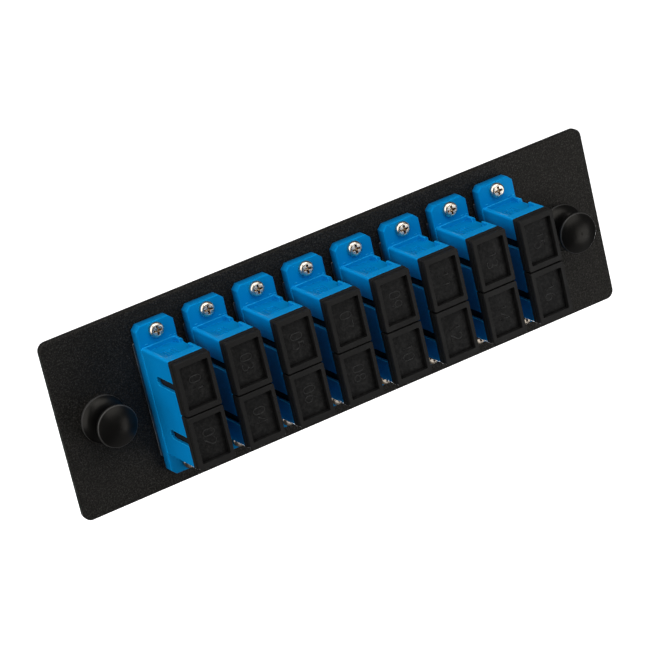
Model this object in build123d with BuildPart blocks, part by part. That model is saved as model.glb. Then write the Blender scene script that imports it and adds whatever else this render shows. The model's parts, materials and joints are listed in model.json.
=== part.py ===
from build123d import *
import os

# Fibre adapter panel: a flat steel plate with eight duplex through-adapters,
# each screwed to it with two small screws and nuts, a dust cap in every port
# on both sides, and a push-pull plunger latch at each end.
#
# Frame: X along the plate, Y through it (the front faces -Y), Z up the plate.
# The origin is the centre of the plate's rear, seating face.
# All dimensions are in millimetres.

os.makedirs("parts", exist_ok=True)

# ------------------------------------------------------------------ plate
plate_w = 141.1          # along X
plate_h = 42.4           # along Z
plate_t = 1.6            # along Y
plate_corner_r = 2.0
plate_edge_r = 0.2       # edge softened by the coating
adapter_count = 8
adapter_pitch = 12.7
cutout_w = 9.9
cutout_h = 26.4
cutout_r = 0.5
screw_spacing = 31.4     # upper to lower screw
screw_clear_r = 1.1
plunger_spacing = 120.8
plunger_hole_r = 3.15

# ------------------------------------------------------------------ adapter shells
flange_w = 9.3
flange_h = 35.4
flange_half_t = 1.4      # each shell carries one half of the flange
ear_chamfer = 1.1
ear_edge_r = 0.22
seam_bevel = 0.1
body_w = 8.9
body_h = 25.4
body_corner_r = 0.55
body_rim_r = 0.3
half_length = 14.3       # joint between the two shells to the port mouth
port_pitch = 12.7
port_w = 7.5
port_h = 9.3
throat_h = 7.9           # opening between the two ledges that hold the inserts
seat_depth = 1.0         # insert flange pocket, from the joint
throat_depth = 2.0
key_w = 2.2              # keyway slot in the -X wall
key_len = 8.3
well_w = 7.1             # sunk field on the two short faces
well_rear = 1.7          # distance from the joint to the well's near end
well_front = 11.6        # distance from the joint to the well's far end
well_depth = 1.0
notch_rear = 4.2         # open stretch of the +X wall of the well
notch_front = 8.5
mark_w = 3.1             # faint sunk square in the well
mark_len = 4.1
mark_depth = 0.18
clip_relief = 0.3        # room under the rear flange for the clip's lips

# ------------------------------------------------------------------ latch inserts and sleeves
insert_w = 7.4
insert_h = 9.2
insert_t = 0.96
barrel_r = 2.3
barrel_bore_r = 1.66
barrel_mouth_r = 1.35
barrel_len = 7.0
barrel_lip = 1.0
hook_w = 2.8
hook_in = 2.9
hook_t = 0.7
hook_len = 6.5
sleeve_r = 1.6
sleeve_bore_r = 1.245
sleeve_len = 11.6
sleeve_slot = 0.35

# ------------------------------------------------------------------ dust caps
cap_w = 9.0
cap_h = 12.62
cap_t = 2.8
cap_corner_r = 0.35
cap_edge_r = 0.16
cap_step = 0.1           # parting step round the rim
recess_w = 7.0
recess_h = 9.95
recess_depth = 1.15
recess_r = 0.25
plug_w = 7.3
plug_h = 9.1
plug_len = 8.6
plug_wall_x = 0.7
plug_wall_z = 0.65
cap_travel = 12.0

# ------------------------------------------------------------------ spring clips
clip_t = 0.3
clip_arm_h = 24.4
clip_arm_end = 8.0       # behind the plate
clip_lip_x = 5.1
clip_lip_h = 27.0
clip_tongue_h = 7.0
clip_bridge = (2.2, 7.8)

# ------------------------------------------------------------------ fasteners
screw_head_r = 1.75
screw_head_t = 1.2
screw_r = 1.0
screw_len = 8.0
recess_arm = 2.1
recess_blade = 0.5
nut_flats = 4.0
nut_t = 1.6

# ------------------------------------------------------------------ plunger latches
grommet_flange_r = 5.45
grommet_rim_t = 0.9
grommet_top_r = 3.1
grommet_top = 2.3
barrel_neck_r = 3.1      # in the plate's hole
ridge_r = 3.45           # snap ridge behind the plate
ridge_y = (0.35, 1.1)    # its peak and its end
barrel_out_r = 2.9       # split legs behind the ridge
barrel_tip = 0.35
barrel_back = 6.4
plunger_bore_r = 1.95
shank_r = 1.88
knob_r = 4.8
knob_neck_r = 2.5
knob_under = 6.1         # knob underside above the plate's front face
knob_low = 6.5
knob_high = 7.4
knob_top = 8.8
knob_rim_r = 0.25
leg_slot = 0.8
plunger_travel = 3.6

# ------------------------------------------------------------------ derived places
front_y = -plate_t                                   # plate's front face
joint_y = front_y - flange_half_t                    # where the two shells meet
front_mouth_y = joint_y - half_length
rear_mouth_y = joint_y + half_length
adapter_xs = [(i - (adapter_count - 1) / 2) * adapter_pitch for i in range(adapter_count)]
port_zs = [port_pitch / 2, -port_pitch / 2]
joint_plane = Plane.XZ.offset(-joint_y)              # normal points to the front, -Y
dome_rise = knob_top - knob_high                     # the knob's dome is part of a sphere
dome_sphere_r = (knob_r**2 + dome_rise**2) / (2 * dome_rise)
dome_mid_r = 0.6 * knob_r
dome_mid_rise = (dome_sphere_r**2 - dome_mid_r**2) ** 0.5 - (dome_sphere_r - dome_rise)


def ahead(distance):
    """Plane parallel to the plate, a distance in front of the shells' joint."""
    return Plane.XZ.offset(-joint_y + distance)


# =================================================================== plate
with BuildPart() as panel_plate:
    with BuildSketch(Plane.XZ):
        RectangleRounded(plate_w, plate_h, plate_corner_r)
        with GridLocations(adapter_pitch, 0, adapter_count, 1):
            RectangleRounded(cutout_w, cutout_h, cutout_r, mode=Mode.SUBTRACT)
        with GridLocations(adapter_pitch, screw_spacing, adapter_count, 2):
            Circle(screw_clear_r, mode=Mode.SUBTRACT)
        with GridLocations(plunger_spacing, 0, 2, 1):
            Circle(plunger_hole_r, mode=Mode.SUBTRACT)
    extrude(amount=plate_t)
    fillet(panel_plate.faces().sort_by(Axis.Y)[0].outer_wire().edges(), plate_edge_r)
    fillet(panel_plate.faces().sort_by(Axis.Y)[-1].outer_wire().edges(), plate_edge_r)

# =================================================================== adapter shells
# Front half, drawn on the adapter's own centre line.
with BuildPart() as front_half:
    # half flange with cut corners
    with BuildSketch(joint_plane) as flange_outline:
        Rectangle(flange_w, flange_h)
        chamfer(flange_outline.vertices(), length=ear_chamfer)
    extrude(amount=flange_half_t)
    fillet(front_half.faces().sort_by(Axis.Y)[0].outer_wire().edges(), ear_edge_r)
    chamfer(front_half.faces().sort_by(Axis.Y)[-1].outer_wire().edges(), seam_bevel)
    # body
    with BuildSketch(ahead(flange_half_t - 0.4)):
        RectangleRounded(body_w, body_h, body_corner_r)
    extrude(amount=half_length - flange_half_t + 0.4)
    fillet(front_half.faces().sort_by(Axis.Y)[0].outer_wire().edges(), body_rim_r)
    # insert pockets, throats and ports
    with BuildSketch(joint_plane):
        with GridLocations(0, port_pitch, 1, 2):
            Rectangle(port_w, port_h)
    extrude(amount=seat_depth, mode=Mode.SUBTRACT)
    with BuildSketch(joint_plane):
        with GridLocations(0, port_pitch, 1, 2):
            Rectangle(port_w, throat_h)
    extrude(amount=throat_depth, mode=Mode.SUBTRACT)
    with BuildSketch(ahead(throat_depth)):
        with GridLocations(0, port_pitch, 1, 2):
            Rectangle(port_w, port_h)
    extrude(amount=half_length - throat_depth, mode=Mode.SUBTRACT)
    # keyway slots through the -X wall, rounded at the inner end
    with BuildSketch(Plane.YZ.offset(-body_w / 2 - 0.2)):
        with Locations(*[(front_mouth_y + key_len - key_w / 2, z) for z in port_zs]):
            Circle(key_w / 2)
        with Locations(*[(front_mouth_y + (key_len - key_w / 2) / 2 - 0.5, z) for z in port_zs]):
            Rectangle(key_len - key_w / 2 + 1.0, key_w)
    extrude(amount=1.1, mode=Mode.SUBTRACT)
    # sunk field on the top short face, with the open stretch in its +X wall
    with BuildSketch(Plane.XY.offset(body_h / 2 - well_depth)):
        with Locations((0, joint_y - (well_rear + well_front) / 2)):
            Rectangle(well_w, well_front - well_rear)
        with Locations((body_w / 2, joint_y - (notch_rear + notch_front) / 2)):
            Rectangle(body_w - well_w, notch_front - notch_rear)
    extrude(amount=well_depth + 1.0, mode=Mode.SUBTRACT)
    # two faint squares, one inside the other, in the well's floor
    with BuildSketch(Plane.XY.offset(body_h / 2 - well_depth - mark_depth)):
        with Locations((-0.25, joint_y - 7.0)):
            Rectangle(mark_w, mark_len)
            Rectangle(mark_w - 1.1, mark_len - 1.1, mode=Mode.SUBTRACT)
            Rectangle(mark_w - 1.9, mark_len - 1.9)
    extrude(amount=mark_depth, mode=Mode.SUBTRACT)
    # the same on the bottom short face
    with BuildSketch(Plane.XY.offset(-body_h / 2 - 1.0)):
        with Locations((0, joint_y - (well_rear + well_front) / 2)):
            Rectangle(well_w, well_front - well_rear)
        with Locations((body_w / 2, joint_y - (notch_rear + notch_front) / 2)):
            Rectangle(body_w - well_w, notch_front - notch_rear)
    extrude(amount=well_depth + 1.0, mode=Mode.SUBTRACT)
    # screw holes through the ears
    with BuildSketch(joint_plane):
        with GridLocations(0, screw_spacing, 1, 2):
            Circle(screw_clear_r)
    extrude(amount=flange_half_t, mode=Mode.SUBTRACT)

# Rear half: the front half seen in the joint, with room for the clip's lips.
with BuildPart() as rear_half:
    add(mirror(front_half.part, about=joint_plane, mode=Mode.PRIVATE))
    with BuildSketch(Plane.XZ.offset(plate_t)):
        with GridLocations(flange_w, 0, 2, 1):
            Rectangle(1.0, clip_lip_h + 0.3)
    extrude(amount=clip_relief, mode=Mode.SUBTRACT)

# =================================================================== latch inserts
# Insert for one port's front half: square flange, sleeve barrel, two hooks.
with BuildPart() as front_insert:
    with BuildSketch(ahead(0.02)):
        Rectangle(insert_w, insert_h)
    extrude(amount=insert_t)
    with BuildSketch(ahead(0.02)):
        Circle(barrel_r)
    extrude(amount=barrel_len - 0.02)
    fillet(front_insert.faces().sort_by(Axis.Y)[0].outer_wire().edges(), 0.3)
    # hooks with a small inward barb
    with BuildSketch(Plane.YZ.offset(-hook_w / 2)) as hook_outline:
        with BuildLine():
            Polyline(
                (joint_y - 0.9, hook_in),
                (joint_y - 5.4, hook_in),
                (joint_y - 5.8, hook_in - 0.3),
                (joint_y - hook_len, hook_in + 0.1),
                (joint_y - hook_len, hook_in + hook_t),
                (joint_y - 0.9, hook_in + hook_t),
                close=True,
            )
        make_face()
        mirror(about=Plane.XZ)
    extrude(amount=hook_w)
    # sleeve bore, with a lip at the mouth that keeps the sleeve in
    with BuildSketch(joint_plane):
        Circle(barrel_bore_r)
    extrude(amount=barrel_len - barrel_lip, mode=Mode.SUBTRACT)
    with BuildSketch(joint_plane):
        Circle(barrel_mouth_r)
    extrude(amount=barrel_len + 0.5, mode=Mode.SUBTRACT)

with BuildPart() as rear_insert:
    add(mirror(front_insert.part, about=joint_plane, mode=Mode.PRIVATE))

insert_places = [(x, 0, z) for x in adapter_xs for z in port_zs]
with BuildPart() as latch_inserts:
    with Locations(*insert_places):
        add(front_insert.part)
        add(rear_insert.part)

# =================================================================== split sleeves
with BuildPart() as one_sleeve:
    with BuildSketch(ahead(-sleeve_len / 2)):
        Circle(sleeve_r)
        Circle(sleeve_bore_r, mode=Mode.SUBTRACT)
        with Locations(((sleeve_r + sleeve_bore_r) / 2, 0)):
            Rectangle(1.2, sleeve_slot, mode=Mode.SUBTRACT)
    extrude(amount=sleeve_len)

with BuildPart() as alignment_sleeves:
    with Locations(*insert_places):
        add(one_sleeve.part)

# =================================================================== spring clips
# A saddle of thin sheet: a bridge over the body behind the plate, an arm down
# each long side, a lip that lies on the plate, and a tongue behind it.
with BuildPart() as one_clip:
    # arms and the outward lips
    with BuildSketch(Plane.XY.offset(-clip_arm_h / 2)):
        with Locations(((body_w + clip_t) / 2, (front_y + clip_arm_end) / 2 - clip_t / 2)):
            Rectangle(clip_t, clip_arm_end - front_y + clip_t)
        mirror(about=Plane.YZ)
    extrude(amount=clip_arm_h)
    with BuildSketch(Plane.XZ.offset(plate_t)):
        with Locations(((body_w / 2 + clip_lip_x) / 2, 0)):
            RectangleRounded(clip_lip_x - body_w / 2, clip_lip_h, 0.3)
        mirror(about=Plane.YZ)
    extrude(amount=clip_t)
    # bridge over the short face
    with BuildSketch(Plane.XY.offset(body_h / 2)):
        with Locations((0, sum(clip_bridge) / 2)):
            Rectangle(body_w + 2 * clip_t, clip_bridge[1] - clip_bridge[0])
    extrude(amount=clip_t)
    with BuildSketch(Plane.XY.offset(clip_arm_h / 2 - 1.0)):
        with Locations(((body_w + clip_t) / 2, sum(clip_bridge) / 2)):
            Rectangle(clip_t, clip_bridge[1] - clip_bridge[0])
        mirror(about=Plane.YZ)
    extrude(amount=body_h / 2 - clip_arm_h / 2 + 1.0 + clip_t)
    # window that each tongue is bent out of
    with BuildSketch(Plane.YZ.offset(-body_w)):
        with Locations((3.0, 0)):
            Rectangle(5.2, clip_tongue_h + 0.4)
    extrude(amount=2 * body_w, mode=Mode.SUBTRACT)
    # tongues, springing out behind the plate
    with BuildSketch(Plane.XY.offset(-clip_tongue_h / 2)):
        with BuildLine():
            Polyline(
                (body_w / 2, 5.9),
                (body_w / 2, 5.3),
                (body_w / 2 + 1.1, 0.5),
                (body_w / 2 + 1.1 + clip_t, 0.5),
                (body_w / 2 + clip_t, 5.4),
                (body_w / 2 + clip_t, 5.9),
                close=True,
            )
        make_face()
        mirror(about=Plane.YZ)
    extrude(amount=clip_tongue_h)

with BuildPart() as spring_clips:
    with Locations(*[(x, 0, 0) for x in adapter_xs]):
        add(one_clip.part)

# =================================================================== screws and nuts
screw_places = [(x, 0, z) for x in adapter_xs for z in (screw_spacing / 2, -screw_spacing / 2)]

with BuildPart() as one_screw:
    with BuildSketch(ahead(flange_half_t)):
        Circle(screw_head_r)
    extrude(amount=screw_head_t)
    fillet(one_screw.faces().sort_by(Axis.Y)[0].outer_wire().edges(), 0.62)
    with BuildSketch(ahead(flange_half_t)):
        Circle(screw_r)
    extrude(amount=-screw_len)
    chamfer(one_screw.faces().sort_by(Axis.Y)[-1].outer_wire().edges(), 0.2)
    # cross recess
    with BuildSketch(ahead(flange_half_t + screw_head_t)):
        Rectangle(recess_arm, recess_blade)
        Rectangle(recess_blade, recess_arm)
        Circle(0.52)
    extrude(amount=-0.8, taper=12, mode=Mode.SUBTRACT)

with BuildPart() as screws:
    with Locations(*screw_places):
        add(one_screw.part)

with BuildPart() as one_nut:
    with BuildSketch(Plane.XZ):
        RegularPolygon(nut_flats / 2, 6, major_radius=False)
        Circle(screw_r, mode=Mode.SUBTRACT)
    extrude(amount=-nut_t)
    chamfer(one_nut.faces().sort_by(Axis.Y)[-1].outer_wire().edges(), 0.2)

with BuildPart() as nuts:
    with Locations(*screw_places):
        add(one_nut.part)

# =================================================================== dust caps
# Cap for a front port, drawn on the port's own centre line.
with BuildPart() as front_cap:
    # plug
    with BuildSketch(ahead(half_length)):
        RectangleRounded(plug_w, plug_h, 0.4)
    extrude(amount=-plug_len)
    chamfer(front_cap.faces().sort_by(Axis.Y)[-1].outer_wire().edges(), 0.25)
    # rim, in two steps either side of the parting line
    with BuildSketch(ahead(half_length)):
        RectangleRounded(cap_w, cap_h, cap_corner_r)
    extrude(amount=cap_t / 2)
    with BuildSketch(ahead(half_length + cap_t / 2)):
        RectangleRounded(cap_w - 2 * cap_step, cap_h - 2 * cap_step, cap_corner_r)
    extrude(amount=cap_t / 2)
    fillet(front_cap.faces().sort_by(Axis.Y)[0].outer_wire().edges(), cap_edge_r)
    # face recess
    with BuildSketch(ahead(half_length + cap_t)):
        RectangleRounded(recess_w, recess_h, recess_r)
    extrude(amount=-recess_depth, mode=Mode.SUBTRACT)
    # hollow plug, open towards the sleeve
    with BuildSketch(ahead(half_length - plug_len)):
        RectangleRounded(plug_w - 2 * plug_wall_x, plug_h - 2 * plug_wall_z, 0.3)
    extrude(amount=plug_len - 0.3, mode=Mode.SUBTRACT)

with BuildPart() as rear_cap:
    add(mirror(front_cap.part, about=joint_plane, mode=Mode.PRIVATE))

# =================================================================== plunger latches
# Grommet: domed flange on the plate's front, split barrel through it.
with BuildPart() as one_grommet:
    with BuildSketch(Plane.YZ):
        with BuildLine():
            Line((front_y, plunger_bore_r), (front_y, grommet_flange_r - 0.25))
            Line((front_y, grommet_flange_r - 0.25), (front_y - 0.25, grommet_flange_r))
            Line((front_y - 0.25, grommet_flange_r), (front_y - grommet_rim_t, grommet_flange_r))
            ThreePointArc(
                (front_y - grommet_rim_t, grommet_flange_r),
                (front_y - 1.82, 4.55),
                (front_y - grommet_top, grommet_top_r),
            )
            Line((front_y - grommet_top, grommet_top_r), (front_y - grommet_top, plunger_bore_r))
            Line((front_y - grommet_top, plunger_bore_r), (front_y, plunger_bore_r))
        make_face()
    revolve(axis=Axis.Y)
    # barrel: neck in the plate's hole, snap ridge behind it, then the legs
    with BuildSketch(Plane.YZ):
        with BuildLine():
            Polyline(
                (front_y - 0.1, plunger_bore_r),
                (front_y - 0.1, barrel_neck_r),
                (0.02, barrel_neck_r),
                (ridge_y[0], ridge_r),
                (ridge_y[1], barrel_out_r),
                (barrel_back - barrel_tip, barrel_out_r),
                (barrel_back, barrel_out_r - barrel_tip),
                (barrel_back, plunger_bore_r),
                close=True,
            )
        make_face()
    revolve(axis=Axis.Y)
    # slot that splits the barrel into two legs
    with BuildSketch(Plane.XZ.offset(0.8)):
        Rectangle(2 * ridge_r + 1, leg_slot)
    extrude(amount=-(barrel_back + 2), mode=Mode.SUBTRACT)

# Plunger: mushroom knob on a shank that slides in the grommet.
with BuildPart() as one_plunger:
    with BuildSketch(Plane.YZ):
        with BuildLine():
            Polyline(
                (front_y + 6.2, 0),
                (front_y + 6.2, shank_r - 0.35),
                (front_y + 5.7, shank_r),
                (front_y - 3.2, shank_r),
                (front_y - knob_under, shank_r),
                (front_y - knob_under, knob_neck_r),
                (front_y - knob_low, knob_r - 0.15),
                (front_y - knob_low - 0.15, knob_r),
                (front_y - knob_high, knob_r),
            )
            ThreePointArc(
                (front_y - knob_high, knob_r),
                (front_y - knob_high - dome_mid_rise, dome_mid_r),
                (front_y - knob_top, 0),
            )
            Line((front_y - knob_top, 0), (front_y + 6.2, 0))
        make_face()
    revolve(axis=Axis.Y)
    rim_circles = one_plunger.edges().filter_by(lambda edge: edge.is_closed).sort_by(Axis.Y)
    fillet(rim_circles[0], knob_rim_r)

# =================================================================== finished pieces
panel_plate.part.label = "panel_plate"
export_step(panel_plate.part, "parts/panel_plate.step")

for number, x in enumerate(adapter_xs, start=1):
    with BuildPart() as front_shell:
        with Locations((x, 0, 0)):
            add(front_half.part)
    front_shell.part.label = f"adapter_{number}_front_shell"
    export_step(front_shell.part, f"parts/adapter_{number}_front_shell.step")

    with BuildPart() as rear_shell:
        with Locations((x, 0, 0)):
            add(rear_half.part)
    rear_shell.part.label = f"adapter_{number}_rear_shell"
    export_step(rear_shell.part, f"parts/adapter_{number}_rear_shell.step")

    for level, z in zip(("upper", "lower"), port_zs):
        with BuildPart() as front_dust_cap:
            with Locations((x, 0, z)):
                add(front_cap.part)
        front_dust_cap.part.label = f"front_cap_{number}_{level}"
        export_step(front_dust_cap.part, f"parts/front_cap_{number}_{level}.step")

        with BuildPart() as rear_dust_cap:
            with Locations((x, 0, z)):
                add(rear_cap.part)
        rear_dust_cap.part.label = f"rear_cap_{number}_{level}"
        export_step(rear_dust_cap.part, f"parts/rear_cap_{number}_{level}.step")

latch_inserts.part.label = "latch_inserts"
export_step(latch_inserts.part, "parts/latch_inserts.step")

alignment_sleeves.part.label = "alignment_sleeves"
export_step(alignment_sleeves.part, "parts/alignment_sleeves.step")

spring_clips.part.label = "spring_clips"
export_step(spring_clips.part, "parts/spring_clips.step")

screws.part.label = "screws"
export_step(screws.part, "parts/screws.step")

nuts.part.label = "nuts"
export_step(nuts.part, "parts/nuts.step")

for side, x in (("left", -plunger_spacing / 2), ("right", plunger_spacing / 2)):
    with BuildPart() as grommet:
        with Locations((x, 0, 0)):
            add(one_grommet.part)
    grommet.part.label = f"grommet_{side}"
    export_step(grommet.part, f"parts/grommet_{side}.step")

    with BuildPart() as plunger:
        with Locations((x, 0, 0)):
            add(one_plunger.part)
    plunger.part.label = f"plunger_{side}"
    export_step(plunger.part, f"parts/plunger_{side}.step")
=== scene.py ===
import json
import math

import bpy
import bmesh
from mathutils import Matrix, Vector
from mathutils.geometry import intersect_point_tri_2d


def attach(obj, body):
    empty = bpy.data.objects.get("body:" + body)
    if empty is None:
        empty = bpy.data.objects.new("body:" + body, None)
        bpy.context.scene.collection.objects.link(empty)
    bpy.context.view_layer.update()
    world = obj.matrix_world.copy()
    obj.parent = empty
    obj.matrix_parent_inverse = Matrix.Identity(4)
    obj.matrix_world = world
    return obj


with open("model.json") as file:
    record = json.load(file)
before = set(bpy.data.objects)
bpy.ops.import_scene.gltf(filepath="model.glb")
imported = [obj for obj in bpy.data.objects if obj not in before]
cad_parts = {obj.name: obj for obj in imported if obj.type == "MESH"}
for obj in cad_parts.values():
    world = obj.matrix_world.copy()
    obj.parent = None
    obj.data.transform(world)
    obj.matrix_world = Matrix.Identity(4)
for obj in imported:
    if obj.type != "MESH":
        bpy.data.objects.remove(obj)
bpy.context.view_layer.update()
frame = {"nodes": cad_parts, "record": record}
nodes = frame["nodes"]

MM = 0.001
PITCH = 12.7
ADAPTER_XS = [(i - 3.5) * PITCH for i in range(8)]
PORT_ZS = {"upper": 6.35, "lower": -6.35}

scene = bpy.context.scene

# ------------------------------------------------------------------ camera
# The axes and place were worked out from the object's own edges in the view.
cam_data = bpy.data.cameras.new("camera")
cam_data.sensor_width = 36.0
cam_data.lens = 199.6
cam_data.clip_start = 0.05
cam_data.clip_end = 20.0
cam = bpy.data.objects.new("camera", cam_data)
scene.collection.objects.link(cam)
right = Vector((0.84776638, -0.48301999, -0.21905217)).normalized()
down = Vector((-0.35431372, -0.20845527, -0.91159650)).normalized()
ahead = right.cross(-down) * -1.0
up = -down
place = Vector((-0.32097383, -0.68553323, 0.27993649))
back = -ahead
rot = Matrix((
    (right.x, up.x, back.x),
    (right.y, up.y, back.y),
    (right.z, up.z, back.z),
))
cam.matrix_world = Matrix.Translation(place) @ rot.to_4x4()
scene.camera = cam

# ------------------------------------------------------------------ light and floor
scene.view_settings.view_transform = "Standard"
scene.view_settings.look = "None"
scene.view_settings.exposure = 0.0

world = bpy.data.worlds.new("world")
scene.world = world
world.use_nodes = True
wt = world.node_tree
wb = wt.nodes["Background"]
wb.inputs["Color"].default_value = (1.0, 1.0, 1.0, 1.0)
wpath = wt.nodes.new("ShaderNodeLightPath")
wglossy = wt.nodes.new("ShaderNodeMapRange")
wglossy.inputs["To Min"].default_value = 0.018   # what lights the object
wglossy.inputs["To Max"].default_value = 0.07    # what shows in its gloss
wt.links.new(wpath.outputs["Is Glossy Ray"], wglossy.inputs["Value"])
wstr = wt.nodes.new("ShaderNodeMapRange")
wstr.inputs["To Max"].default_value = 1.1        # what stands behind it
wt.links.new(wglossy.outputs["Result"], wstr.inputs["To Min"])
wt.links.new(wpath.outputs["Is Camera Ray"], wstr.inputs["Value"])
wt.links.new(wstr.outputs["Result"], wb.inputs["Strength"])


def area_light(name, loc, size, power, size_y=None, target=(0, 0, 0)):
    data = bpy.data.lights.new(name, "AREA")
    data.energy = power
    data.shape = "RECTANGLE" if size_y else "SQUARE"
    data.size = size
    if size_y:
        data.size_y = size_y
    obj = bpy.data.objects.new(name, data)
    scene.collection.objects.link(obj)
    direction = Vector(target) - Vector(loc)
    obj.matrix_world = Matrix.Translation(Vector(loc)) @ direction.to_track_quat("-Z", "Y").to_matrix().to_4x4()
    return obj


area_light("top", (-0.25, -0.24, 1.10), 1.5, 6.9, size_y=0.8)
area_light("left", (-1.12, -0.22, 0.30), 1.5, 13.5)
area_light("front", (0.30, -1.10, 0.90), 1.3, 8.8, size_y=1.0)
area_light("side", (0.30, -0.345, -0.15), 0.30, 0.66, target=(0.07, 0, 0))
area_light("low", (0.25, -0.30, -0.75), 0.9, 0.7)
area_light("back", (0.42, 1.00, -0.48), 1.1, 15.0, size_y=0.8)


# ------------------------------------------------------------------ materials
def material(name):
    mat = bpy.data.materials.new(name)
    mat.use_nodes = True
    tree = mat.node_tree
    bsdf = tree.nodes["Principled BSDF"]
    return mat, tree, bsdf


def add_noise(tree, coords, scale, detail=2.0, rough=0.5):
    n = tree.nodes.new("ShaderNodeTexNoise")
    n.inputs["Scale"].default_value = scale
    n.inputs["Detail"].default_value = detail
    n.inputs["Roughness"].default_value = rough
    tree.links.new(coords, n.inputs["Vector"])
    return n


def ramp(tree, source, stops):
    r = tree.nodes.new("ShaderNodeValToRGB")
    els = r.color_ramp.elements
    els[0].position, els[0].color = stops[0][0], (*stops[0][1], 1)
    els[1].position, els[1].color = stops[-1][0], (*stops[-1][1], 1)
    for pos, col in stops[1:-1]:
        e = els.new(pos)
        e.color = (*col, 1)
    tree.links.new(source, r.inputs["Fac"])
    return r


def map_range(tree, source, lo, hi, fmin=0.0, fmax=1.0):
    m = tree.nodes.new("ShaderNodeMapRange")
    m.inputs["From Min"].default_value = fmin
    m.inputs["From Max"].default_value = fmax
    m.inputs["To Min"].default_value = lo
    m.inputs["To Max"].default_value = hi
    tree.links.new(source, m.inputs["Value"])
    return m


def bump(tree, height, strength, distance, normal=None):
    b = tree.nodes.new("ShaderNodeBump")
    b.inputs["Strength"].default_value = strength
    b.inputs["Distance"].default_value = distance
    tree.links.new(height, b.inputs["Height"])
    if normal is not None:
        tree.links.new(normal, b.inputs["Normal"])
    return b


def calc(tree, operation, *values):
    """A math node on sockets or plain numbers; gives its output socket."""
    m = tree.nodes.new("ShaderNodeMath")
    m.operation = operation
    for i, v in enumerate(values):
        if isinstance(v, (int, float)):
            m.inputs[i].default_value = v
        else:
            tree.links.new(v, m.inputs[i])
    return m.outputs["Value"]


def mix_colour(tree, factor, a, b):
    """Colour socket a, turned to the plain colour b by the factor socket."""
    m = tree.nodes.new("ShaderNodeMix")
    m.data_type = "RGBA"
    tree.links.new(factor, m.inputs["Factor"])
    tree.links.new(a, m.inputs["A"])
    m.inputs["B"].default_value = (*b, 1)
    return m.outputs["Result"]


def hidden_from_sky(tree, reach_mm, lo, hi, amount):
    """1 in corners and hollows, 0 on open faces."""
    ao = tree.nodes.new("ShaderNodeAmbientOcclusion")
    ao.samples = 8
    ao.inputs["Distance"].default_value = reach_mm * MM
    return map_range(tree, ao.outputs["AO"], amount, 0.0, lo, hi).outputs["Result"]


def edge_round(tree, radius_mm):
    b = tree.nodes.new("ShaderNodeBevel")
    b.samples = 12
    b.inputs["Radius"].default_value = radius_mm * MM
    return b


def powder_coat():
    mat, tree, bsdf = material("powder_coat_black")
    tc = tree.nodes.new("ShaderNodeTexCoord").outputs["Object"]
    grain = add_noise(tree, tc, 2600.0, 2.0, 0.6)
    fine = add_noise(tree, tc, 6000.0, 1.0, 0.5)
    fleck = add_noise(tree, tc, 3700.0, 1.0, 0.5)
    cloud = add_noise(tree, tc, 60.0, 3.0, 0.5)
    base = ramp(tree, grain.outputs["Fac"], [(0.36, (0.0012, 0.0011, 0.0010)), (0.52, (0.0058, 0.0055, 0.0049)), (0.66, (0.026, 0.0248, 0.0224))])
    light = ramp(tree, fleck.outputs["Fac"], [(0.60, (0.0, 0.0, 0.0)), (0.72, (0.046, 0.0443, 0.0415))])
    add = tree.nodes.new("ShaderNodeMix")
    add.data_type = "RGBA"
    add.blend_type = "ADD"
    add.inputs["Factor"].default_value = 1.0
    tree.links.new(base.outputs["Color"], add.inputs["A"])
    tree.links.new(light.outputs["Color"], add.inputs["B"])
    mix = tree.nodes.new("ShaderNodeMix")
    mix.data_type = "RGBA"
    tree.links.new(add.outputs["Result"], mix.inputs["A"])
    mix.inputs["B"].default_value = (0.0056, 0.0053, 0.0047, 1)
    f = map_range(tree, cloud.outputs["Fac"], 0.0, 0.3, 0.3, 0.7)
    tree.links.new(f.outputs["Result"], mix.inputs["Factor"])
    tree.links.new(mix.outputs["Result"], bsdf.inputs["Base Color"])
    r = map_range(tree, grain.outputs["Fac"], 0.54, 0.40, 0.3, 0.7)
    tree.links.new(r.outputs["Result"], bsdf.inputs["Roughness"])
    rounding = edge_round(tree, 0.8)
    b1 = bump(tree, grain.outputs["Fac"], 0.9, 0.00024, rounding.outputs["Normal"])
    b2 = bump(tree, fine.outputs["Fac"], 0.35, 0.00005, b1.outputs["Normal"])
    tree.links.new(b2.outputs["Normal"], bsdf.inputs["Normal"])
    bsdf.inputs["Specular IOR Level"].default_value = 0.22
    bsdf.inputs["Specular Tint"].default_value = (1.0, 0.955, 0.88, 1.0)
    return mat


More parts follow.
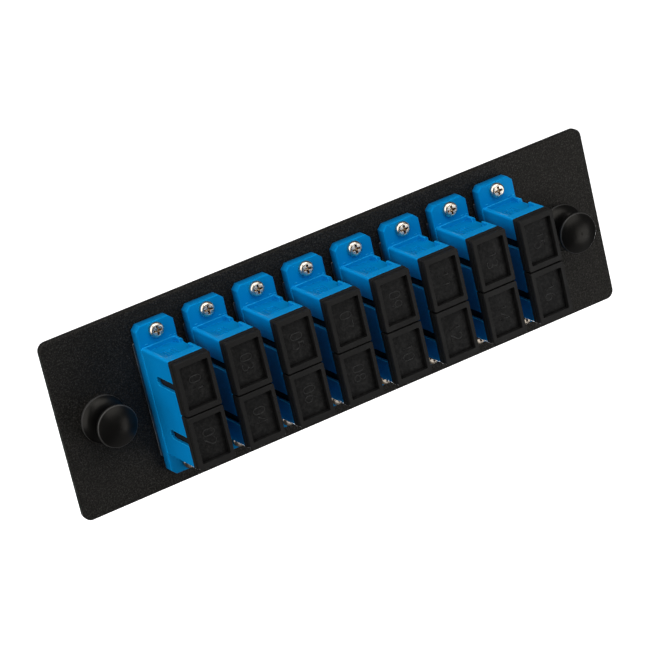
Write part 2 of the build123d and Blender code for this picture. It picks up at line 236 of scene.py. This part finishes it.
def moulded(name, low, high, rough_lo, rough_hi, grain_scale, grain_bump, edge=0.05, spec=0.5, sss=0.0, flow=0.0, tint=None, painted_edge_highlight=None, painted_highlight_mm=0.2, painted_highlight_amount=0.6, eroded=None, painted_gap_shade=None, painted_hollow_shade=None, rings=None):
    mat, tree, bsdf = material(name)
    tc = tree.nodes.new("ShaderNodeTexCoord").outputs["Object"]
    cloud = add_noise(tree, tc, 90.0, 2.0, 0.5)
    col = ramp(tree, cloud.outputs["Fac"], [(0.3, low), (0.7, high)])
    tree.links.new(col.outputs["Color"], bsdf.inputs["Base Color"])
    plain = col.outputs["Color"]
    if painted_edge_highlight:
        # painted highlight: the edges are painted a lighter colour, found where the bevelled normal turns from the
        # true normal
        soft = edge_round(tree, painted_highlight_mm)
        geo = tree.nodes.new("ShaderNodeNewGeometry")
        dot = tree.nodes.new("ShaderNodeVectorMath")
        dot.operation = "DOT_PRODUCT"
        tree.links.new(soft.outputs["Normal"], dot.inputs[0])
        tree.links.new(geo.outputs["True Normal"], dot.inputs[1])
        near = map_range(tree, dot.outputs["Value"], painted_highlight_amount, 0.0, 0.80, 0.985)
        # the faint squares in the wells stay faint: less painted edge highlight at their depth
        place_at = tree.nodes.new("ShaderNodeSeparateXYZ")
        tree.links.new(tc, place_at.inputs["Vector"])
        high = tree.nodes.new("ShaderNodeMath")
        high.operation = "ABSOLUTE"
        tree.links.new(place_at.outputs["Z"], high.inputs[0])
        floor_zone = tree.nodes.new("ShaderNodeMath")
        floor_zone.operation = "COMPARE"
        tree.links.new(high.outputs["Value"], floor_zone.inputs[0])
        floor_zone.inputs[1].default_value = 11.6 * MM
        floor_zone.inputs[2].default_value = 0.14 * MM
        weaken = map_range(tree, floor_zone.outputs["Value"], 1.0, 0.22)
        kept = tree.nodes.new("ShaderNodeMath")
        kept.operation = "MULTIPLY"
        tree.links.new(near.outputs["Result"], kept.inputs[0])
        tree.links.new(weaken.outputs["Result"], kept.inputs[1])
        painted_highlight_mix = tree.nodes.new("ShaderNodeMix")
        painted_highlight_mix.data_type = "RGBA"
        tree.links.new(kept.outputs["Value"], painted_highlight_mix.inputs["Factor"])
        tree.links.new(col.outputs["Color"], painted_highlight_mix.inputs["A"])
        painted_highlight_mix.inputs["B"].default_value = (*painted_edge_highlight, 1)
        tree.links.new(painted_highlight_mix.outputs["Result"], bsdf.inputs["Base Color"])
        col_out = painted_highlight_mix.outputs["Result"]
        plain = col_out
        if painted_gap_shade:
            # painted shade: the flange's edge is painted a darker blue towards the plate
            shift = tree.nodes.new("ShaderNodeMath")
            shift.operation = "ADD"
            tree.links.new(place_at.outputs["Y"], shift.inputs[0])
            shift.inputs[1].default_value = 1.9 * MM
            away = tree.nodes.new("ShaderNodeMath")
            away.operation = "ABSOLUTE"
            tree.links.new(shift.outputs["Value"], away.inputs[0])
            plate_shade_band = map_range(tree, away.outputs["Value"], 0.72, 0.0, 0.3 * MM, 2.2 * MM)
            painted_plate_shade = tree.nodes.new("ShaderNodeMix")
            painted_plate_shade.data_type = "RGBA"
            tree.links.new(plate_shade_band.outputs["Result"], painted_plate_shade.inputs["Factor"])
            tree.links.new(col_out, painted_plate_shade.inputs["A"])
            painted_plate_shade.inputs["B"].default_value = (0.0, 0.085, 0.235, 1)
            # painted shade and highlight: the well floors are painted a darker blue, the rails round them a lighter
            # blue
            facing = tree.nodes.new("ShaderNodeSeparateXYZ")
            tree.links.new(geo.outputs["True Normal"], facing.inputs["Vector"])
            flat = calc(tree, "GREATER_THAN", calc(tree, "ABSOLUTE", facing.outputs["Z"]), 0.7)
            well = calc(tree, "MULTIPLY", flat, calc(tree, "COMPARE", high.outputs["Value"], 11.6 * MM, 0.25 * MM))
            painted_well_shade = mix_colour(tree, well, painted_plate_shade.outputs["Result"], (0.0, 0.214, 0.515))
            clear = calc(tree, "GREATER_THAN", calc(tree, "ABSOLUTE", place_at.outputs["Y"]), 4.7 * MM)
            rail = calc(tree, "COMPARE", high.outputs["Value"], 12.75 * MM, 0.24 * MM)
            rail = calc(tree, "MULTIPLY", calc(tree, "MULTIPLY", rail, clear), 0.34)
            painted_rail_highlight = mix_colour(tree, rail, painted_well_shade, (0.008, 0.345, 0.760))
            # painted shade: in the narrow gaps between the bodies the blue is darkened by an occlusion mask
            open_sky = tree.nodes.new("ShaderNodeAmbientOcclusion")
            open_sky.samples = 8
            open_sky.inputs["Distance"].default_value = 9.0 * MM
            shade = map_range(tree, open_sky.outputs["AO"], 1.0, 0.0, 0.08, 0.33)
            side_only = map_range(tree, high.outputs["Value"], 1.0, 0.0, 9.5 * MM, 11.2 * MM)
            shade_side = tree.nodes.new("ShaderNodeMath")
            shade_side.operation = "MULTIPLY"
            tree.links.new(shade.outputs["Result"], shade_side.inputs[0])
            tree.links.new(side_only.outputs["Result"], shade_side.inputs[1])
            gap_shade_mix = tree.nodes.new("ShaderNodeMix")
            gap_shade_mix.data_type = "RGBA"
            tree.links.new(shade_side.outputs["Value"], gap_shade_mix.inputs["Factor"])
            tree.links.new(painted_rail_highlight, gap_shade_mix.inputs["A"])
            gap_shade_mix.inputs["B"].default_value = (*painted_gap_shade, 1)
            tree.links.new(gap_shade_mix.outputs["Result"], bsdf.inputs["Base Color"])
    if rings:
        # painted highlight: lighter rings are painted round the edges of the knob heads and the grommet flanges
        spot = tree.nodes.new("ShaderNodeSeparateXYZ")
        tree.links.new(tc, spot.inputs["Vector"])
        across = calc(tree, "SUBTRACT", calc(tree, "ABSOLUTE", spot.outputs["X"]), 60.4 * MM)
        upright = spot.outputs["Z"]
        radius = calc(tree, "SQRT", calc(tree, "ADD", calc(tree, "MULTIPLY", across, across), calc(tree, "MULTIPLY", upright, upright)))
        head = calc(tree, "MULTIPLY", calc(tree, "COMPARE", radius, 4.70 * MM, 0.11 * MM), calc(tree, "COMPARE", spot.outputs["Y"], -9.02 * MM, 0.16 * MM))
        flange = calc(tree, "COMPARE", radius, 5.45 * MM, 0.05 * MM)
        ring = calc(tree, "MULTIPLY", calc(tree, "MAXIMUM", head, flange), 0.85)
        tree.links.new(mix_colour(tree, ring, col.outputs["Color"], rings), bsdf.inputs["Base Color"])
    grain = add_noise(tree, tc, grain_scale, 2.0, 0.5)
    smear = add_noise(tree, tc, 260.0, 2.0, 0.5)
    r = map_range(tree, smear.outputs["Fac"], rough_lo, rough_hi, 0.3, 0.7)
    tree.links.new(r.outputs["Result"], bsdf.inputs["Roughness"])
    rounding = edge_round(tree, edge)
    last = bump(tree, grain.outputs["Fac"], 0.5, grain_bump * MM, rounding.outputs["Normal"])
    if eroded:
        # spark-eroded texture, only on the flat faces that lie at these depths
        depth = tree.nodes.new("ShaderNodeSeparateXYZ")
        tree.links.new(tc, depth.inputs["Vector"])
        masks = []
        for y in eroded:
            m = tree.nodes.new("ShaderNodeMath")
            m.operation = "COMPARE"
            tree.links.new(depth.outputs["Y"], m.inputs[0])
            m.inputs[1].default_value = y * MM
            m.inputs[2].default_value = 0.12 * MM
            masks.append(m)
        either = tree.nodes.new("ShaderNodeMath")
        either.operation = "MAXIMUM"
        tree.links.new(masks[0].outputs["Value"], either.inputs[0])
        tree.links.new(masks[1].outputs["Value"], either.inputs[1])
        blotch = add_noise(tree, tc, 1300.0, 3.0, 0.65)
        spots = ramp(tree, blotch.outputs["Fac"], [(0.34, (0.0030, 0.0029, 0.0028)), (0.52, (0.0084, 0.0082, 0.0079)), (0.72, (0.0200, 0.0194, 0.0186))])
        over = tree.nodes.new("ShaderNodeMix")
        over.data_type = "RGBA"
        tree.links.new(either.outputs["Value"], over.inputs["Factor"])
        tree.links.new(plain, over.inputs["A"])
        tree.links.new(spots.outputs["Color"], over.inputs["B"])
        tree.links.new(over.outputs["Result"], bsdf.inputs["Base Color"])
        if painted_hollow_shade:
            # painted shade: the cap recesses and corners are darkened by an occlusion mask
            hollow_shade = hidden_from_sky(tree, 1.6, 0.45, 0.85, 0.8)
            tree.links.new(mix_colour(tree, hollow_shade, over.outputs["Result"], painted_hollow_shade), bsdf.inputs["Base Color"])
        relief = tree.nodes.new("ShaderNodeMath")
        relief.operation = "MULTIPLY"
        tree.links.new(blotch.outputs["Fac"], relief.inputs[0])
        tree.links.new(either.outputs["Value"], relief.inputs[1])
        last = bump(tree, relief.outputs["Value"], 0.8, 0.00010, last.outputs["Normal"])
    if flow:
        last = bump(tree, smear.outputs["Fac"], 0.3, flow * MM, last.outputs["Normal"])
    tree.links.new(last.outputs["Normal"], bsdf.inputs["Normal"])
    bsdf.inputs["Specular IOR Level"].default_value = spec
    if tint:
        bsdf.inputs["Specular Tint"].default_value = (*tint, 1.0)
    if sss:
        bsdf.inputs["Subsurface Weight"].default_value = sss
        bsdf.inputs["Subsurface Radius"].default_value = (0.0002, 0.0006, 0.0012)
        bsdf.inputs["Subsurface Scale"].default_value = 1.0
    return mat


def metal(name, dark, light, rough_lo, rough_hi, scale=(900.0, 900.0, 900.0), edge=0.06, painted_cavity_shade=None, painted_edge_highlight=None, behind=None, painted_lower_shade=None):
    mat, tree, bsdf = material(name)
    tc = tree.nodes.new("ShaderNodeTexCoord").outputs["Object"]
    mp = tree.nodes.new("ShaderNodeMapping")
    mp.inputs["Scale"].default_value = scale
    tree.links.new(tc, mp.inputs["Vector"])
    n = add_noise(tree, mp.outputs["Vector"], 1.0, 3.0, 0.6)
    col = ramp(tree, n.outputs["Fac"], [(0.3, dark), (0.7, light)])
    base = col.outputs["Color"]
    where = tree.nodes.new("ShaderNodeSeparateXYZ")
    tree.links.new(tc, where.inputs["Vector"])
    if behind:
        # painted reflection: the lips in front of y = -0.5 mm keep the dark base, standing for the dark plate they
        # mirror; the arms behind are lighter steel
        base = mix_colour(tree, calc(tree, "GREATER_THAN", where.outputs["Y"], -0.5 * MM), base, behind)
    if painted_lower_shade:
        # painted shade: the lower row of screws is darkened
        base = mix_colour(tree, calc(tree, "MULTIPLY", calc(tree, "LESS_THAN", where.outputs["Z"], 0.0), 0.8), base, painted_lower_shade)
    tree.links.new(base, bsdf.inputs["Base Color"])
    if painted_cavity_shade:
        # painted shade: the driver recess and the corner under the head are darkened to a dark tan
        cavity_shade = hidden_from_sky(tree, 0.6, 0.35, 0.85, 1.0)
        tree.links.new(mix_colour(tree, cavity_shade, base, painted_cavity_shade), bsdf.inputs["Base Color"])
    if painted_edge_highlight:
        # painted highlight: the sheared edges are painted lighter than the flats
        soft = edge_round(tree, 0.14)
        geo = tree.nodes.new("ShaderNodeNewGeometry")
        dot = tree.nodes.new("ShaderNodeVectorMath")
        dot.operation = "DOT_PRODUCT"
        tree.links.new(soft.outputs["Normal"], dot.inputs[0])
        tree.links.new(geo.outputs["True Normal"], dot.inputs[1])
        near = map_range(tree, dot.outputs["Value"], 1.0, 0.0, 0.75, 0.97)
        tree.links.new(mix_colour(tree, near.outputs["Result"], base, painted_edge_highlight), bsdf.inputs["Base Color"])
    r = map_range(tree, n.outputs["Fac"], rough_lo, rough_hi, 0.3, 0.7)
    tree.links.new(r.outputs["Result"], bsdf.inputs["Roughness"])
    bsdf.inputs["Metallic"].default_value = 1.0
    rounding = edge_round(tree, edge)
    b1 = bump(tree, n.outputs["Fac"], 0.25, 0.00002, rounding.outputs["Normal"])
    tree.links.new(b1.outputs["Normal"], bsdf.inputs["Normal"])
    return mat


MAT = {
    "plate": powder_coat(),
    "shell": moulded("moulded_blue", (0.0, 0.240, 0.605), (0.0, 0.250, 0.630), 0.32, 0.40, 3800.0, 0.0015, edge=0.10, spec=0.32, tint=(0.03, 0.66, 1.0), painted_edge_highlight=(0.02, 0.52, 0.98), painted_highlight_mm=0.24, painted_highlight_amount=0.90, painted_gap_shade=(0.032, 0.090, 0.165)),
    # the ear beads are a lighter blue than the shell: a painted highlight on the small beads
    "shell_mark": moulded("moulded_blue_gate", (0.01, 0.38, 0.74), (0.02, 0.42, 0.78), 0.28, 0.36, 3800.0, 0.001, edge=0.03, spec=0.30, tint=(0.1, 0.8, 1.0)),
    "cap": moulded("moulded_black_matte", (0.0118, 0.0115, 0.0111), (0.0146, 0.0141, 0.0135), 0.5, 0.6, 4200.0, 0.014, edge=0.08, spec=0.15, eroded=(-18.95, 12.95), painted_hollow_shade=(0.0022, 0.0021, 0.0020), painted_edge_highlight=(0.034, 0.0332, 0.0322), painted_highlight_mm=0.16, painted_highlight_amount=0.65),
    "cap_mark": moulded("moulded_black_polished", (0.0135, 0.0132, 0.0128), (0.0170, 0.0166, 0.0161), 0.42, 0.5, 4200.0, 0.004, edge=0.04, spec=0.35),
    "insert": moulded("moulded_natural", (0.62, 0.61, 0.56), (0.70, 0.69, 0.65), 0.4, 0.5, 3000.0, 0.008, sss=0.1),
    "ceramic": moulded("ceramic_white", (0.78, 0.77, 0.73), (0.85, 0.84, 0.80), 0.12, 0.2, 6000.0, 0.002),
    "clip": metal("spring_steel", (0.15, 0.15, 0.145), (0.22, 0.22, 0.215), 0.30, 0.40, (400.0, 400.0, 400.0), edge=0.08, painted_edge_highlight=(0.50, 0.51, 0.52), behind=(0.50, 0.495, 0.485)),
    "fastener": metal("nickel_plate", (0.70, 0.59, 0.46), (0.93, 0.85, 0.73), 0.22, 0.32, edge=0.08, painted_cavity_shade=(0.50, 0.38, 0.25), painted_lower_shade=(0.17, 0.145, 0.12)),
    "latch": moulded("moulded_black_satin", (0.0038, 0.0037, 0.0035), (0.0050, 0.0048, 0.0046), 0.29, 0.36, 2600.0, 0.0015, edge=0.08, spec=0.18, flow=0.002, tint=(1.0, 0.95, 0.87), rings=(0.060, 0.0585, 0.0565)),
}
slot_of = {s["node"]: s["material_slot"] for s in frame["record"]["subparts"]}
for name, obj in nodes.items():
    mat = MAT[slot_of[name]]
    if not obj.data.materials:
        obj.data.materials.append(mat)
    for i in range(len(obj.material_slots)):
        obj.material_slots[i].material = mat

# ------------------------------------------------------------------ moulded numbers
# Single-stroke digits on a 4 by 6 field, as lists of strokes.


def arc(cx, cy, rx, ry, a0, a1, n=10):
    return [(cx + rx * math.cos(math.radians(a0 + (a1 - a0) * k / n)), cy + ry * math.sin(math.radians(a0 + (a1 - a0) * k / n))) for k in range(n + 1)]


DIGITS = {
    "0": [arc(2, 4.2, 1.6, 1.8, 0, 180, 8) + arc(2, 1.8, 1.6, 1.8, 180, 360, 8) + [(3.6, 4.2)]],
    "1": [[(0.9, 4.7), (2.2, 6.0), (2.2, 0.0)]],
    "2": [arc(2, 4.3, 1.6, 1.7, 160, -25, 9) + [(0.4, 0.0), (3.7, 0.0)]],
    "3": [arc(1.9, 4.55, 1.5, 1.45, 150, -80, 9), arc(1.9, 1.6, 1.7, 1.6, 85, -150, 10)],
    "4": [[(3.0, 0.0), (3.0, 6.0), (0.3, 1.8), (3.9, 1.8)]],
    "5": [[(3.5, 6.0), (0.8, 6.0), (0.6, 3.3)] + arc(1.9, 1.95, 1.75, 1.9, 120, -145, 10)],
    "6": [[(3.2, 5.8)] + arc(3.6, 2.2, 3.2, 3.6, 120, 180, 5) + arc(2.0, 1.9, 1.6, 1.9, 180, 540, 14)],
    "7": [[(0.4, 6.0), (3.7, 6.0), (1.6, 0.0)]],
    "8": [arc(2, 4.5, 1.35, 1.45, -90, 270, 14), arc(2, 1.55, 1.65, 1.55, 90, 450, 14)],
    "9": [arc(2.0, 4.1, 1.6, 1.9, 0, 360, 14) + arc(0.4, 3.8, 3.2, 3.6, 0, -60, 5)],
}


def ribbon(bm, pts, half, rise, to_world):
    """A low raised bead along pts: five points across, closed at both ends."""
    prof = [(-half, 0.0), (-0.62 * half, 0.75 * rise), (0.0, rise), (0.62 * half, 0.75 * rise), (half, 0.0)]
    rings = []
    closed = (Vector(pts[0]) - Vector(pts[-1])).length < 1e-6
    if closed:
        pts = pts[:-1]
    n = len(pts)
    for i in range(n):
        p = Vector(pts[i])
        a = Vector(pts[(i - 1) % n]) if closed or i > 0 else p
        b = Vector(pts[(i + 1) % n]) if closed or i < n - 1 else p
        t = (b - a).normalized()
        d1 = (p - a).normalized() if (p - a).length > 1e-9 else t
        d2 = (b - p).normalized() if (b - p).length > 1e-9 else t
        side = Vector((-t.y, t.x))
        stretch = 1.0 / max(0.6, math.cos(0.5 * d1.angle(d2, 0.0)))
        rings.append([bm.verts.new(to_world(p + side * (u * stretch), h)) for u, h in prof])
    count = n if closed else n - 1
    for i in range(count):
        r0, r1 = rings[i], rings[(i + 1) % n]
        for k in range(4):
            bm.faces.new((r0[k], r0[k + 1], r1[k + 1], r1[k]))
        bm.faces.new((r0[4], r0[0], r1[0], r1[4]))
    if not closed:
        bm.faces.new(rings[0])
        bm.faces.new(list(reversed(rings[-1])))


def number_piece(name, text, centre, outward, body):
    """Two raised digits that read down the cap, on its recessed face."""
    bm = bmesh.new()
    k = 0.46  # mm per unit of the digit field
    gap = 0.75
    width = (4 + gap) * k * len(text) - gap * k
    flip = -1.0 if outward > 0 else 1.0

    for j, ch in enumerate(text):
        offset = -width / 2 + j * (4 + gap) * k
        for stroke in DIGITS[ch]:
            def to_world(p, h, offset=offset):
                along = offset + p.x * k           # reading direction, down the cap
                tall = (p.y - 3.0) * k
                return Vector((
                    (centre[0] + flip * tall) * MM,
                    (centre[1] + outward * (h - 0.02)) * MM,
                    (centre[2] - along) * MM,
                ))
            ribbon(bm, stroke, 0.31, 0.13, to_world)
    bmesh.ops.recalc_face_normals(bm, faces=bm.faces)
    mesh = bpy.data.meshes.new(name)
    bm.to_mesh(mesh)
    bm.free()
    for poly in mesh.polygons:
        poly.use_smooth = True
    obj = bpy.data.objects.new(name, mesh)
    scene.collection.objects.link(obj)
    mesh.materials.append(MAT["cap_mark"])
    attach(obj, body)
    return obj


def recess_floor(node, x, z, outward):
    """Y of the outermost flat face over the point (x, z) of a cap, in mm."""
    mesh = nodes[node].data
    best = None
    for poly in mesh.polygons:
        if poly.normal.y * outward < 0.99:
            continue
        pts = [mesh.vertices[i].co for i in poly.vertices]
        for k in range(1, len(pts) - 1):
            a, b, c = (Vector((p.x, p.z)) for p in (pts[0], pts[k], pts[k + 1]))
            if intersect_point_tri_2d(Vector((x * MM, z * MM)), a, b, c):
                y = pts[0].y / MM
                if best is None or y * outward > best * outward:
                    best = y
    return best


count = 0
front_floor = recess_floor("front_cap_1_upper", ADAPTER_XS[0] + 0.3, PORT_ZS["upper"] + 0.2, -1.0)
rear_floor = recess_floor("rear_cap_1_upper", ADAPTER_XS[0] + 0.3, PORT_ZS["upper"] + 0.2, 1.0)
for n, x in enumerate(ADAPTER_XS, start=1):
    for level, z in PORT_ZS.items():
        count += 1
        number_piece(f"front_number_{n}_{level}", f"{count:02d}", (x, front_floor, z), -1.0, f"front_cap_{n}_{level}")
        number_piece(f"rear_number_{n}_{level}", f"{count + 16:02d}", (x, rear_floor, z), 1.0, f"rear_cap_{n}_{level}")

# ------------------------------------------------------------------ small mould marks
# Low beads on each ear beside the body, and a dot on one ear; their lighter blue is a painted highlight.
EAR_FACE = -4.4


def ear_marks(name, x, strokes):
    bm = bmesh.new()
    for (x0, z0), (x1, z1), half, rise in strokes:
        def to_world(p, h, x=x):
            return Vector(((x + p.x) * MM, (EAR_FACE - h + 0.01) * MM, p.y * MM))
        steps = 6
        pts = [(x0 + (x1 - x0) * k / steps, z0 + (z1 - z0) * k / steps) for k in range(steps + 1)]
        ribbon(bm, pts, half, rise, to_world)
    bmesh.ops.recalc_face_normals(bm, faces=bm.faces)
    mesh = bpy.data.meshes.new(name)
    bm.to_mesh(mesh)
    bm.free()
    for poly in mesh.polygons:
        poly.use_smooth = True
    obj = bpy.data.objects.new(name, mesh)
    scene.collection.objects.link(obj)
    mesh.materials.append(MAT["shell_mark"])
    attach(obj, "root")
    return obj


for n, x in enumerate(ADAPTER_XS, start=1):
    slide = 0.12 * math.sin(2.3 * n)
    for where, sign in (("upper", 1.0), ("lower", -1.0)):
        strokes = [
            ((-3.4 + slide, sign * 13.22), (-2.75 + slide, sign * 13.22), 0.10, 0.10),
            ((2.55 + slide, sign * 13.15), (3.25 + slide, sign * 13.15), 0.10, 0.10),
            ((3.75 + slide, sign * 13.05), (4.30, sign * 13.05), 0.08, 0.08),
        ]
        if n in (4, 6) and where == "upper":
            strokes.append(((-2.75, 17.05), (-2.62, 17.05), 0.09, 0.07))
        ear_marks(f"ear_marks_{n}_{where}", x, strokes)

# ------------------------------------------------------------------ floor
floor_mesh = bpy.data.meshes.new("floor")
s = 6.0
fz = -0.20
floor_mesh.from_pydata([(-s, -s, fz), (s, -s, fz), (s, s, fz), (-s, s, fz)], [], [(0, 1, 2, 3)])
floor = bpy.data.objects.new("floor", floor_mesh)
scene.collection.objects.link(floor)
fmat, ftree, fbsdf = material("floor_pale")
ftc = ftree.nodes.new("ShaderNodeTexCoord").outputs["Object"]
fnoise = add_noise(ftree, ftc, 3.0, 2.0, 0.5)
fcol = ramp(ftree, fnoise.outputs["Fac"], [(0.3, (0.90, 0.90, 0.90)), (0.7, (0.94, 0.94, 0.94))])
ftree.links.new(fcol.outputs["Color"], fbsdf.inputs["Base Color"])
fbsdf.inputs["Roughness"].default_value = 0.9
fbsdf.inputs["Specular IOR Level"].default_value = 0.0
fbsdf.inputs["Emission Color"].default_value = (1.0, 1.0, 1.0, 1.0)
fbsdf.inputs["Emission Strength"].default_value = 0.95
floor.visible_diffuse = False
floor.visible_glossy = False
floor_mesh.materials.append(fmat)
